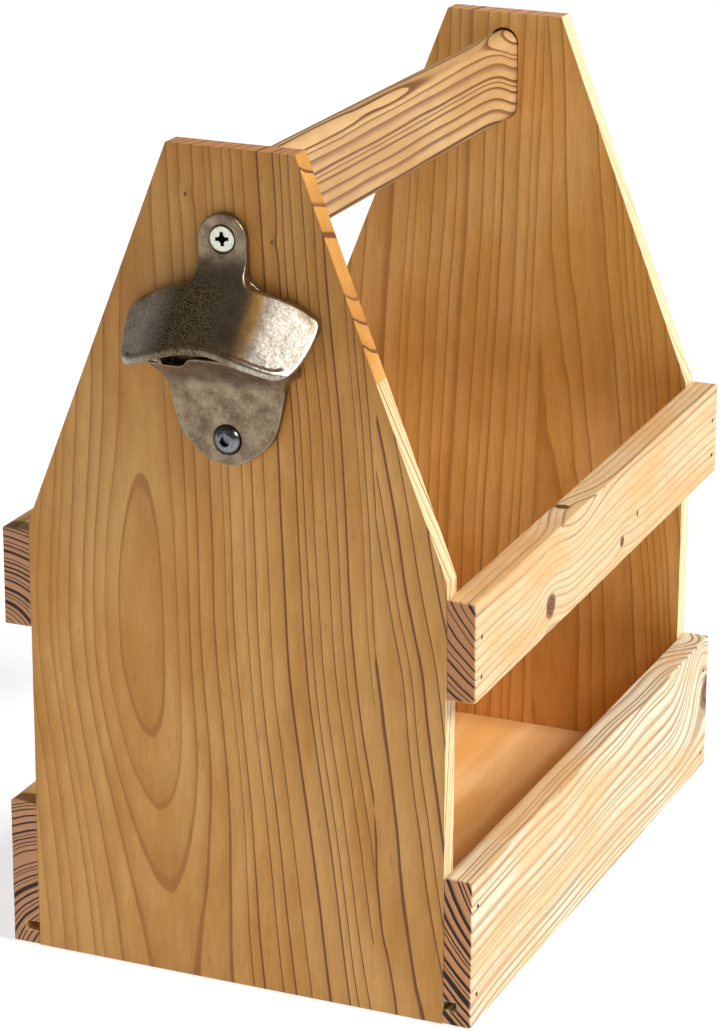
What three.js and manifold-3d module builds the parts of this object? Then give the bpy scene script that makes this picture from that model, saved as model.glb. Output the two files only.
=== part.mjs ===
// A carrier for six bottles, made of thin softwood boards, with a cast wall opener screwed to its front.
// Millimetres, +Z up. X runs across the carrier, and Y from the front panel to the rear one.
import * as THREE from "three";
import { ConvexGeometry } from "three/addons/geometries/ConvexGeometry.js";
import { mergeVertices } from "three/addons/utils/BufferGeometryUtils.js";
import Module from "manifold-3d";

const wasm = await Module();
wasm.setup();

// ---- Driving dimensions ----
const length = 245; // over both end panels, and of each side board
const panel = { width: 149, height: 287, shoulder: 154, topWidth: 44.7, thickness: 8 };
const boardThickness = 10;

// The nail rows are heights above a board's lower edge, the bottom one first.
const upperSlat = { height: 34.2, nailRows: { front: [7.6, 21.2], rear: [7.6, 21.2] } };
const lowerBoard = { height: 52.5, nailRows: { front: [10.4, 42.1], rear: [5.9, 39.7] } };
const rightSlat = { level: 116.5, tilt: THREE.MathUtils.degToRad(1) }; // nailed on a little out of level
const leftSlat = { level: 116.6, tilt: 0 };

const groove = { floor: 5.2, height: 3, depth: 4.8 };
const deck = { thickness: 2.8, play: 0.1 };
const handle = { thickness: 10.6, height: 33, underside: 247.4 };
const mortise = { depth: 5, gap: 0.3, topGap: 1 };
const nail = {
  shank: 0.6,
  head: 0.9,
  headHeight: 0.8,
  length: 24,
  tip: 2,
  inset: 5.2, // from the board's end
  sunk: 0.4,
  gap: 0.12,
};

// The opener has a frame of its own: X across it, Y up from the foot of its plate, Z out from the panel.
const opener = { foot: 184.2, seat: 0.05, roll: THREE.MathUtils.degToRad(1.2) };
const plate = { thickness: 3, tabHalf: 8.3, height: 82.5 };
const hood = {
  start: 66, // the height at which it leaves the plate
  startSoftness: 1.8,
  fall: 0.95, // how far it comes out for each millimetre down
  wing: 13.4, // how far out from the middle the wings start to turn back
  wingSoftness: 2.8,
  wingSlope: 0.78,
  wall: 3.8,
  span: { across: [-34, 34], up: [35, 71], columns: 24, rows: 12 },
};
const lip = {
  low: 24.5,
  high: 33.6,
  foot: 19.5, // half its width where it leaves the plate
  half: 24.6,
  out: 6,
  crown: 2,
  curl: 1.5, // how late it curls outwards: 1 is a straight slope
  furthest: 1.5, // as a share of its rise, where the tongue stops curling outwards
  wall: 3.2,
  seat: 0.2, // the least that its underside stands off the panel
  tongue: 5.6,
  tongueHalf: 9.5,
  span: { up: 40, columns: 14, rows: 8 },
};
const cheeks = { inner: 19.4, outer: 25.2 };
const screwHeights = { top: 74.3, bottom: 8.6 };
const countersink = { hole: 2.5, mouth: 5.1, depth: 2.3 };
const screw = { head: 4.2, headHeight: 2, rim: 0.3, shank: 1.9, tip: 2, gap: 0.25, lift: 0.1 };
const screwLengths = { top: 16, bottom: 9.6 }; // the top one goes through the panel into the handle's end
const cross = { length: 4.8, width: 0.95, depth: 1.6 };
const hexSocket = { radius: 1.7, depth: 1.5 };
const button = { radius: 4.6, crown: 2.3, band: 0.2 };

// ---- Materials ----
const wood = (color) => new THREE.MeshStandardMaterial({ color, roughness: 0.62, metalness: 0 });
const metal = (color, roughness) => new THREE.MeshStandardMaterial({ color, roughness, metalness: 1 });
const panelPine = wood(0xc99a5e);
const boardPine = wood(0xe9cf9f);
const handlePine = wood(0xdfba85);
const deckPly = wood(0xc8955c);
const castMetal = metal(0x8a8278, 0.42);
const zincSteel = metal(0xc9c8bd, 0.3);
const darkNickel = metal(0x6f7072, 0.2);
const nailSteel = metal(0x55524c, 0.5);

// ---- Joining and cutting ----
// A closed three.js geometry as a manifold solid, without the flat triangles a lathe leaves on its axis.
function solid(geometry) {
  const bare = geometry.clone();
  bare.deleteAttribute("normal");
  bare.deleteAttribute("uv");
  const merged = mergeVertices(bare, 1e-4);
  const corners = merged.index.array;
  const kept = [];
  for (let i = 0; i < corners.length; i += 3) {
    const [a, b, c] = corners.slice(i, i + 3);
    if (a !== b && b !== c && c !== a) kept.push(a, b, c);
  }
  const vertProperties = merged.attributes.position.array;
  return new wasm.Manifold(new wasm.Mesh({ numProp: 3, vertProperties, triVerts: new Uint32Array(kept) }));
}

function geometryOf(made) {
  const { vertProperties, triVerts } = made.getMesh();
  const geometry = new THREE.BufferGeometry();
  geometry.setAttribute("position", new THREE.BufferAttribute(vertProperties, 3));
  geometry.setIndex(new THREE.BufferAttribute(triVerts, 1));
  geometry.computeVertexNormals();
  return geometry;
}

function cut(body, tools) {
  return geometryOf(tools.reduce((made, tool) => made.subtract(solid(tool)), solid(body)));
}

function join(pieces) {
  return geometryOf(pieces.map(solid).reduce((made, piece) => made.add(piece)));
}

function overlapOf(a, b) {
  return geometryOf(solid(a).intersect(solid(b)));
}

// ---- Outlines ----
function polygon(points) {
  return new THREE.Shape(points.map(([x, y]) => new THREE.Vector2(x, y)));
}

// A whole outline from its right half, given from bottom to top.
function mirrored(right) {
  const left = right.filter(([x]) => x > 1e-6).map(([x, y]) => [-x, y]);
  return polygon([...right, ...left.reverse()]);
}

function pointsOf(shape, divisions) {
  return shape.getPoints(divisions).map(({ x, y }) => [x, y]);
}

// Straight sides with a half circle at the top and the bottom.
function stadium(width, height) {
  const r = width / 2;
  const shape = new THREE.Shape();
  shape.absarc(0, height - r, r, 0, Math.PI);
  shape.absarc(0, r, r, Math.PI, 2 * Math.PI);
  return shape;
}

// ---- Closed geometries ----
// An outline in X and Y, solid from z = low to z = high.
function prism(shape, low, high, curveSegments = 10) {
  const made = new THREE.ExtrudeGeometry(shape, { depth: high - low, bevelEnabled: false, curveSegments });
  return made.translate(0, 0, low);
}

// An outline in X and Z, solid from y = front to y = rear.
function standing(shape, front, rear, curveSegments) {
  return prism(shape, -rear, -front, curveSegments).rotateX(Math.PI / 2);
}

// A turned piece about Y, from pairs of radius and height, lowest first.
function turned(profile, segments) {
  const points = profile.map(([radius, y]) => new THREE.Vector2(radius, y));
  return new THREE.LatheGeometry(points, segments);
}

// The solid between two surfaces over a rectangle of X and Y: surfaces(x, y) gives the lower and upper z.
function slab([x0, x1], [y0, y1], columns, rows, surfaces) {
  const positions = [];
  const index = [];
  const place = (side, i, j) => (side * (rows + 1) + j) * (columns + 1) + i;
  for (const side of [0, 1])
    for (let j = 0; j <= rows; j++)
      for (let i = 0; i <= columns; i++) {
        const x = THREE.MathUtils.lerp(x0, x1, i / columns);
        const y = THREE.MathUtils.lerp(y0, y1, j / rows);
        positions.push(x, y, surfaces(x, y)[side]);
      }
  const quad = (a, b, c, d) => index.push(a, b, c, a, c, d);
  for (let j = 0; j < rows; j++)
    for (let i = 0; i < columns; i++) {
      quad(place(1, i, j), place(1, i + 1, j), place(1, i + 1, j + 1), place(1, i, j + 1));
      quad(place(0, i, j), place(0, i, j + 1), place(0, i + 1, j + 1), place(0, i + 1, j));
    }
  for (let i = 0; i < columns; i++) {
    quad(place(0, i, 0), place(0, i + 1, 0), place(1, i + 1, 0), place(1, i, 0));
    quad(place(0, i + 1, rows), place(0, i, rows), place(1, i, rows), place(1, i + 1, rows));
  }
  for (let j = 0; j < rows; j++) {
    quad(place(0, 0, j + 1), place(0, 0, j), place(1, 0, j), place(1, 0, j + 1));
    quad(place(0, columns, j), place(0, columns, j + 1), place(1, columns, j + 1), place(1, columns, j));
  }
  const made = new THREE.BufferGeometry();
  made.setAttribute("position", new THREE.Float32BufferAttribute(positions, 3));
  return made.setIndex(index);
}

function meshOf(name, geometry, material) {
  const mesh = new THREE.Mesh(geometry, material);
  mesh.name = name;
  return mesh;
}

// ---- Nails ----
// A brad with its head's top at the origin and its point down -Y, or the hole for it if it is made wider.
function brad(gap, headroom) {
  return turned(
    [
      [0, -nail.length - gap],
      [nail.shank + gap, nail.tip - nail.length - gap],
      [nail.shank + gap, -nail.headHeight - gap],
      [nail.head + gap, -nail.headHeight / 2],
      [nail.head + gap, headroom],
      [0, headroom],
    ],
    10,
  );
}

// ---- Side boards ----
// A board on one side of the carrier, centred on its own group, with its nails beside it in that group.
// side is 1 on the right (+X) and -1 on the left. section gives its corners as (outwards, up), from the
// lower inner one.
function sideBoard({ name, side, section, height, level, tilt, nailRows }) {
  const group = new THREE.Group();
  group.position.set(side * (panel.width / 2), 0, level + height / 2);
  group.rotation.x = tilt;
  const outline = polygon(section.map(([out, up]) => [side * out, up - height / 2]));
  const holes = [];
  for (const [end, rows] of Object.entries(nailRows))
    rows.forEach((row, i) => {
      const pin = meshOf(`nail_${name}_${end}_${i ? "top" : "bottom"}`, brad(0, 0), nailSteel);
      const y = (end === "front" ? -1 : 1) * (length / 2 - nail.inset);
      pin.position.set(side * (boardThickness - nail.sunk), y, row - height / 2);
      pin.rotation.z = (-side * Math.PI) / 2;
      pin.userData.end = end;
      pin.updateMatrix();
      holes.push(brad(nail.gap, 1).applyMatrix4(pin.matrix));
      group.add(pin);
    });
  group.add(meshOf(name, cut(standing(outline, -length / 2, length / 2), holes), boardPine));
  return group;
}

const slatSection = [
  [0, 0],
  [boardThickness, 0],
  [boardThickness, upperSlat.height],
  [0, upperSlat.height],
];

// The lower boards have a groove along the inside, which the deck slides into.
const lowerSection = [
  [0, 0],
  [boardThickness, 0],
  [boardThickness, lowerBoard.height],
  [0, lowerBoard.height],
  [0, groove.floor + groove.height],
  [groove.depth, groove.floor + groove.height],
  [groove.depth, groove.floor],
  [0, groove.floor],
];

const onTheGround = { level: 0, tilt: 0 };
const sideBoards = [
  sideBoard({ name: "upper_slat_right", side: 1, section: slatSection, ...upperSlat, ...rightSlat }),
  sideBoard({ name: "upper_slat_left", side: -1, section: slatSection, ...upperSlat, ...leftSlat }),
  sideBoard({ name: "lower_board_right", side: 1, section: lowerSection, ...lowerBoard, ...onTheGround }),
  sideBoard({ name: "lower_board_left", side: -1, section: lowerSection, ...lowerBoard, ...onTheGround }),
];

// ---- Opener ----
// Zero below zero and value above it, with a soft bend between.
const softly = (value, softness) => softness * Math.log1p(Math.exp(value / softness));

// Right halves of outlines, from bottom to top.
const hoodEdge = [
  [0, 42.4],
  [5, 42.1],
  [10, 41],
  [15, 39.5],
  [20, 37.6],
  [24, 36.2],
  [26.5, 35.8],
  [28.8, 36.6],
  [30.6, 38.8],
  [32, 42.2],
  [32.8, 45.8],
  [32.9, 48.6],
  [32, 50.6],
  [30, 52.1],
  [26.5, 54.3],
  [18.6, 57.9],
  [10.3, 60.6],
  [8.9, 62.3],
  [plate.tabHalf, 65],
  [plate.tabHalf, 70],
];
const plateEdge = [
  [0, 0],
  [5, 0.8],
  [9, 3],
  [12.4, 5.6],
  [15, 8.4],
  [16.9, 11.6],
  [18.1, 15],
  [19.7, 22],
  [21.2, 28],
  [22.5, 30.4],
  [24, 32.4],
  [24.6, 34.2],
  [24, 37],
  [21.5, 42],
  [20.7, 46],
  [18.4, 52],
  [14.5, 57],
  [10.3, 60.6],
  [8.9, 62.3],
  [plate.tabHalf, 65],
];

// From behind everything cast to in front of it, for a prism that only gives an outline.
const allOfIt = [-5, 45];

// How far the hood's outer face stands out from the panel. It flows out of the plate as it comes down, and
// has a wing on each side that turns back towards the panel.
function hoodFace(x, y) {
  const out = plate.thickness + hood.fall * softly(hood.start - y, hood.startSoftness);
  return out - hood.wingSlope * softly(Math.abs(x) - hood.wing, hood.wingSoftness);
}

function hoodShell() {
  const { across, up, columns, rows } = hood.span;
  const surfaces = (x, y) => [Math.max(hoodFace(x, y) - hood.wall, 0), hoodFace(x, y)];
  return overlapOf(slab(across, up, columns, rows, surfaces), prism(mirrored(hoodEdge), ...allOfIt));
}

// The lower lip curls out of the plate and rises to a tongue in the middle, which catches a crown cap.
function lowerLip() {
  const { low, high, foot, half, out, crown, curl, furthest, wall, seat, span } = lip;
  const surfaces = (x, y) => {
    const risen = THREE.MathUtils.clamp((y - low) / (high - low), 0, furthest);
    const face = plate.thickness + (out + crown * (1 - (x / half) ** 2)) * risen ** curl;
    return [Math.max(face - wall, seat), face];
  };
  const tongueTop = (x) => high + lip.tongue * Math.exp(-((x / lip.tongueHalf) ** 4));
  const top = [23, 16, 12, 9, 6, 3, 0].map((x) => [x, tongueTop(x)]);
  const sides = plateEdge.filter(([, y]) => y > low && y < high + 1);
  const right = mirrored([[foot, low], ...sides, ...top]);
  const sheet = slab([-half - 1, half + 1], [low, span.up], span.columns, span.rows, surfaces);
  return overlapOf(sheet, prism(right, ...allOfIt));
}

function backPlate() {
  const tab = new THREE.Shape();
  tab.absarc(0, plate.height - plate.tabHalf, plate.tabHalf, 0, Math.PI / 2);
  return prism(mirrored([...plateEdge, ...pointsOf(tab, 7)]), 0, plate.thickness);
}

// The flared wall at each end of the mouth, which ties the hood, the plate and the lip together.
function cheek(side) {
  const inside = [
    [0, 28],
    [5, 29],
    [8.4, 33],
    [18.5, 42.5],
    [4.6, 56],
    [0, 56],
  ];
  const outside = [
    [0, 31],
    [4.5, 31.6],
    [7.6, 34],
    [12, 40.5],
    [3.2, 52],
    [0, 52],
  ];
  const cornersAt = (x, profile) => profile.map(([z, y]) => new THREE.Vector3(side * x, y, z));
  const corners = [...cornersAt(cheeks.inner, inside), ...cornersAt(cheeks.outer, outside)];
  return new ConvexGeometry(corners);
}

// The way through the plate for a screw, wider at the front.
function screwHole(height) {
  const { hole, mouth, depth } = countersink;
  const face = plate.thickness;
  const profile = [
    [0, -1],
    [hole, -1],
    [hole, face - depth],
    [mouth, face],
    [mouth, face + 8],
    [0, face + 8],
  ];
  return turned(profile, 20).rotateX(Math.PI / 2).translate(0, height, 0);
}

// The profile of a screw's shank up to the given height, in the opener's frame, or of its hole.
function shankProfile(place, top, gap) {
  const end = plate.thickness - screw.headHeight - screwLengths[place];
  return [
    [0, end - gap],
    [screw.shank + gap, end + screw.tip],
    [screw.shank + gap, top],
  ];
}

// The top screw has a flat head with a cross in it.
function flatHeadScrew() {
  const top = plate.thickness + screw.lift;
  const under = top - screw.headHeight;
  const head = [
    [screw.head, top - screw.rim],
    [screw.head, top],
    [0, top],
  ];
  const body = turned([...shankProfile("top", under, 0), ...head], 20);
  const arms = [0, 1].map((turn) => {
    const { length: long, width, depth } = cross;
    const sizes = turn ? [long, 2 * depth, width] : [width, 2 * depth, long];
    return new THREE.BoxGeometry(...sizes).translate(0, top, 0);
  });
  return cut(body, arms);
}

// The bottom screw has a domed head with a six-sided socket.
function domedHeadScrew() {
  const { radius, crown, band } = button;
  const edge = plate.thickness;
  const under = edge - screw.headHeight;
  const dome = [0.9, 0.72, 0.4].map((share) => {
    return [radius * share, edge + crown * Math.sqrt(1 - share ** 2)];
  });
  const top = edge + crown;
  const head = [[radius, edge - band], [radius, edge], ...dome, [0, top]];
  const body = turned([...shankProfile("bottom", under, 0), ...head], 20);
  const socket = new THREE.CylinderGeometry(hexSocket.radius, hexSocket.radius, 2 * hexSocket.depth, 6);
  return cut(body, [socket.translate(0, top, 0)]);
}

function openerGroup() {
  const group = new THREE.Group();
  group.position.set(0, -length / 2 - opener.seat, opener.foot);
  group.rotation.set(Math.PI / 2, 0, opener.roll);
  const casting = join([backPlate(), hoodShell(), lowerLip(), cheek(1), cheek(-1)]);
  group.add(meshOf("bottle_opener", cut(casting, Object.values(screwHeights).map(screwHole)), castMetal));
  const screws = { top: flatHeadScrew(), bottom: domedHeadScrew() };
  const finishes = { top: zincSteel, bottom: darkNickel };
  for (const [place, geometry] of Object.entries(screws)) {
    const piece = meshOf(`opener_screw_${place}`, geometry, finishes[place]);
    piece.rotation.x = Math.PI / 2;
    piece.position.y = screwHeights[place];
    group.add(piece);
  }
  return group;
}

// ---- End panels ----
// Each has a blind mortise for the handle. end is -1 for the front panel and 1 for the rear one.
function endPanel(end, holes) {
  const { width, height, shoulder, topWidth, thickness } = panel;
  const corners = [
    [width / 2, 0],
    [width / 2, shoulder],
    [topWidth / 2, height],
  ];
  const outer = (end * length) / 2;
  const inner = outer - end * thickness;
  const board = standing(mirrored(corners), Math.min(outer, inner), Math.max(outer, inner));
  const hollow = stadium(handle.thickness + 2 * mortise.gap, handle.height + mortise.gap + mortise.topGap);
  const mouth = inner - end;
  const floor = inner + end * mortise.depth;
  const pocket = standing(hollow, Math.min(mouth, floor), Math.max(mouth, floor), 8);
  return cut(board, [pocket.translate(0, 0, handle.underside - mortise.gap), ...holes]);
}

function nailHolesAt(end) {
  const pins = sideBoards.flatMap((group) => group.children).filter((child) => child.userData.end === end);
  return pins.map((pin) => brad(nail.gap, 1).applyMatrix4(pin.matrixWorld));
}

function screwHoles(group) {
  return Object.keys(screwHeights).map((place) => {
    const piece = group.children.find((child) => child.name === `opener_screw_${place}`);
    const top = plate.thickness + 1;
    const profile = [...shankProfile(place, top, screw.gap), [0, top]];
    return turned(profile, 16).applyMatrix4(piece.matrixWorld);
  });
}

// ---- Handle and deck ----
function handleBar(holes) {
  const reach = length / 2 - panel.thickness + mortise.depth - mortise.gap;
  const bar = standing(stadium(handle.thickness, handle.height), -reach, reach, 8);
  return cut(bar.translate(0, 0, handle.underside), holes);
}

function deckSheet() {
  const halfWidth = panel.width / 2 + groove.depth - deck.play;
  const halfLength = length / 2 - panel.thickness - deck.play;
  const made = new THREE.BoxGeometry(2 * halfWidth, 2 * halfLength, deck.thickness);
  return made.translate(0, 0, groove.floor + deck.play + deck.thickness / 2);
}

// ---- Assembly ----
const carrier = new THREE.Group();
const fittedOpener = openerGroup();
carrier.add(...sideBoards, fittedOpener);
carrier.updateMatrixWorld(true);
const openerHoles = screwHoles(fittedOpener);
const frontHoles = [...nailHolesAt("front"), ...openerHoles];
carrier.add(meshOf("front_panel", endPanel(-1, frontHoles), panelPine));
carrier.add(meshOf("rear_panel", endPanel(1, nailHolesAt("rear")), panelPine));
carrier.add(meshOf("handle", handleBar(openerHoles), handlePine));
carrier.add(meshOf("bottom_panel", deckSheet(), deckPly));

// The origin lies on the ground under the middle of the whole carrier, opener included.
const extent = new THREE.Box3().setFromObject(carrier, true);
carrier.position.y = -(extent.min.y + extent.max.y) / 2;

export default carrier;
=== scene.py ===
import math

import bmesh
import bpy
from mathutils import Matrix, Vector, noise


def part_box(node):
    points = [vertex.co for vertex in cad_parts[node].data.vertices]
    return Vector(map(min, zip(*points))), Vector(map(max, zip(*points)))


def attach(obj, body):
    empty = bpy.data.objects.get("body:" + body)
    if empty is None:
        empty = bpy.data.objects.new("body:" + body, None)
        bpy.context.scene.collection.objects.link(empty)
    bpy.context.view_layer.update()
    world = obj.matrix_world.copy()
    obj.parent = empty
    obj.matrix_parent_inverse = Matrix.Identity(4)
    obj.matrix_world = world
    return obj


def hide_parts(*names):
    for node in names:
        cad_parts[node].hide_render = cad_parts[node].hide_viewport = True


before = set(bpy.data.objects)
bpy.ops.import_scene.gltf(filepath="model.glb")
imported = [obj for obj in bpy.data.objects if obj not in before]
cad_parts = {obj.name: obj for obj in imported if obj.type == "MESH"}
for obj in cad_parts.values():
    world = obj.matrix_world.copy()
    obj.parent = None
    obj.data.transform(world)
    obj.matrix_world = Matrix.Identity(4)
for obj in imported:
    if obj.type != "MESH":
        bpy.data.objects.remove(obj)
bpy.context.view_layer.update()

# Shapes are worked out in millimetres and made in metres. X runs across the carrier, Y from the front
# panel to the rear one, and Z up.
MM = 0.001
STANDARD_LOOK = "Standard"

# ---- Sizes of the finished pieces, in millimetres ----
EDGE = 0.55  # how far a sawn and sanded edge is rounded over
SLAT_TILT = math.radians(1.0)
GROOVE = {"floor": 5.2, "top": 8.2, "depth": 4.8}
MORTISE = {"depth": 5.0, "gap": 0.3, "top_gap": 1.0}
NAIL = {"shank": 0.75, "head": 0.95, "head_height": 0.8}


def box_mm(node):
    low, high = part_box(node)
    return low / MM, high / MM


# ---- Shader recipes ----
def colour(code):
    """A linear colour from the six-digit code of an sRGB one."""
    parts = [int(code[i : i + 2], 16) / 255 for i in (0, 2, 4)]
    return (*[c / 12.92 if c <= 0.04045 else ((c + 0.055) / 1.055) ** 2.4 for c in parts], 1.0)


class Value:
    """What a shader socket carries. Sums on it add Math nodes to its recipe."""

    def __init__(self, recipe, socket):
        self.recipe = recipe
        self.socket = socket

    def __add__(self, other):
        return self.recipe.math("ADD", self, other)

    def __sub__(self, other):
        return self.recipe.math("SUBTRACT", self, other)

    def __rsub__(self, other):
        return self.recipe.math("SUBTRACT", other, self)

    def __mul__(self, other):
        return self.recipe.math("MULTIPLY", self, other)

    def __truediv__(self, other):
        return self.recipe.math("DIVIDE", self, other)

    __radd__ = __add__
    __rmul__ = __mul__


class Recipe:
    """One material and the nodes that make it."""

    def __init__(self, name, constants):
        self.material = bpy.data.materials.new(name)
        self.material.use_nodes = True
        self.tree = self.material.node_tree
        self.shader = next(n for n in self.tree.nodes if n.type == "BSDF_PRINCIPLED")
        for socket, value in constants.items():
            self.shader.inputs[socket].default_value = value

    def node(self, kind, settings, inputs, output=0):
        made = self.tree.nodes.new("ShaderNode" + kind)
        for name, value in settings.items():
            setattr(made, name, value)
        for name, value in inputs.items():
            self.feed(made.inputs[name], value)
        return Value(self, made.outputs[output])

    def feed(self, socket, value):
        if isinstance(value, Value):
            self.tree.links.new(value.socket, socket)
        else:
            socket.default_value = value

    def math(self, operation, *values):
        return self.node("Math", {"operation": operation}, dict(enumerate(values)))

    def vector(self, operation, *values, output=0):
        return self.node("VectorMath", {"operation": operation}, dict(enumerate(values)), output)

    def scaled(self, vector, factor):
        return self.node("VectorMath", {"operation": "SCALE"}, {0: vector, 3: factor})

    def clamped(self, value):
        return self.node("Clamp", {}, {0: value})

    def rise(self, value, low, high):
        """0 below low, 1 above high, and a soft step between them."""
        limits = {0: value, 1: low, 2: high, 3: 0.0, 4: 1.0}
        return self.node("MapRange", {"interpolation_type": "SMOOTHSTEP"}, limits)

    def mix(self, share, first, second, blend="MIX"):
        settings = {"data_type": "RGBA", "blend_type": blend}
        return self.node("Mix", settings, {0: share, 6: first, 7: second}, 2)

    def noise(self, place, detail=2.0, roughness=0.5, output=0):
        sockets = {"Vector": place, "Scale": 1.0, "Detail": detail, "Roughness": roughness}
        return self.node("TexNoise", {}, sockets, output)

    def sawn_edge(self):
        """1 on the narrow sawn edges of a board that stands in X and Z, and 0 on its wide faces."""
        normal = self.node("NewGeometry", {}, {}, "True Normal")
        wide = self.math("ABSOLUTE", self.vector("DOT_PRODUCT", normal, (0.0, 1.0, 0.0), output="Value"))
        return 1.0 - self.rise(wide, 0.3, 0.8)

    def place_mm(self):
        where = self.node("TexCoord", {}, {}, "Object")
        return self.scaled(where, 1 / MM)

    def finish(self, base, roughness, height=None, depth=0.1):
        self.feed(self.shader.inputs["Base Color"], base)
        self.feed(self.shader.inputs["Roughness"], roughness)
        if height is not None:
            bump = self.node("Bump", {}, {"Height": height, "Strength": 1.0, "Distance": depth * MM})
            self.feed(self.shader.inputs["Normal"], bump)
        return self.material


# ---- Pine ----
def tones(early, warm, late, gold, end_early, end_late, lit_edge):
    codes = {"early": early, "warm": warm, "late": late, "gold": gold, "lit_edge": lit_edge}
    codes |= {"end_early": end_early, "end_late": end_late}
    return {use: colour(code) for use, code in codes.items()}


FRONT_TONES = tones("dca55c", "cc8f40", "6b3712", "a05c14", "d09a72", "8a4a26", "ecd2a4")
REAR_TONES = tones("f3bc6e", "e6a950", "9c6228", "b0701f", "cf9a70", "8a4a26", "f0dcb4")
HANDLE_TONES = tones("c8a270", "b98f5b", "573216", "74451f", "c99a76", "5f2b12", "dfbb8c")
SLAT_TONES = tones("dcbc90", "d9a870", "8d7350", "bf8a54", "c98d5e", "2c0c04", "e3c499")
# Paler than the pine's own tones: painted highlight for the washed-out look of the lower right board's lit
# side.
LIT_LOW_TONES = tones("dacdb2", "d6b483", "94704a", "bd8a58", "d49666", "2c0c04", "dfd3b9")
LEFT_TONES = tones("e6c18c", "d9a968", "9a6b38", "c08444", "c9936a", "381206", "e6c18c")
KNOT_DARK = colour("3a1c0b")
KNOT_RED = colour("8a5227")
TOP_SHADE = (0.82, 0.77, 0.62, 1.0)  # what the painted shade towards the top of the front panel keeps of the colour


def stem_rings(r, place, along, stem, drift):
    """The count of growth rings from a stem's pith line to a place. The pith line passes through pith, leans
    sideways by lean for each millimetre along the grain, and bows away from that line by bow at each end."""
    along = Vector(along)
    reach = 70.0
    offset = r.vector("SUBTRACT", place, tuple(stem["pith"]))
    s = r.vector("DOT_PRODUCT", offset, tuple(along), output="Value")
    square = s * s * (1 / reach**2)
    bowed = square / (square + 1.0)
    line = r.scaled(tuple(along + Vector(stem.get("lean", (0, 0, 0)))), s)
    line = r.vector("ADD", line, r.scaled(tuple(stem.get("bow", (0, 0, 0))), bowed))
    cross = r.vector("ADD", r.vector("SUBTRACT", offset, line), drift)
    radius = r.vector("LENGTH", cross, output="Value")
    radius = radius * (1.0 + s * stem.get("taper", 0.0))
    return radius / stem["ring"]


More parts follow.
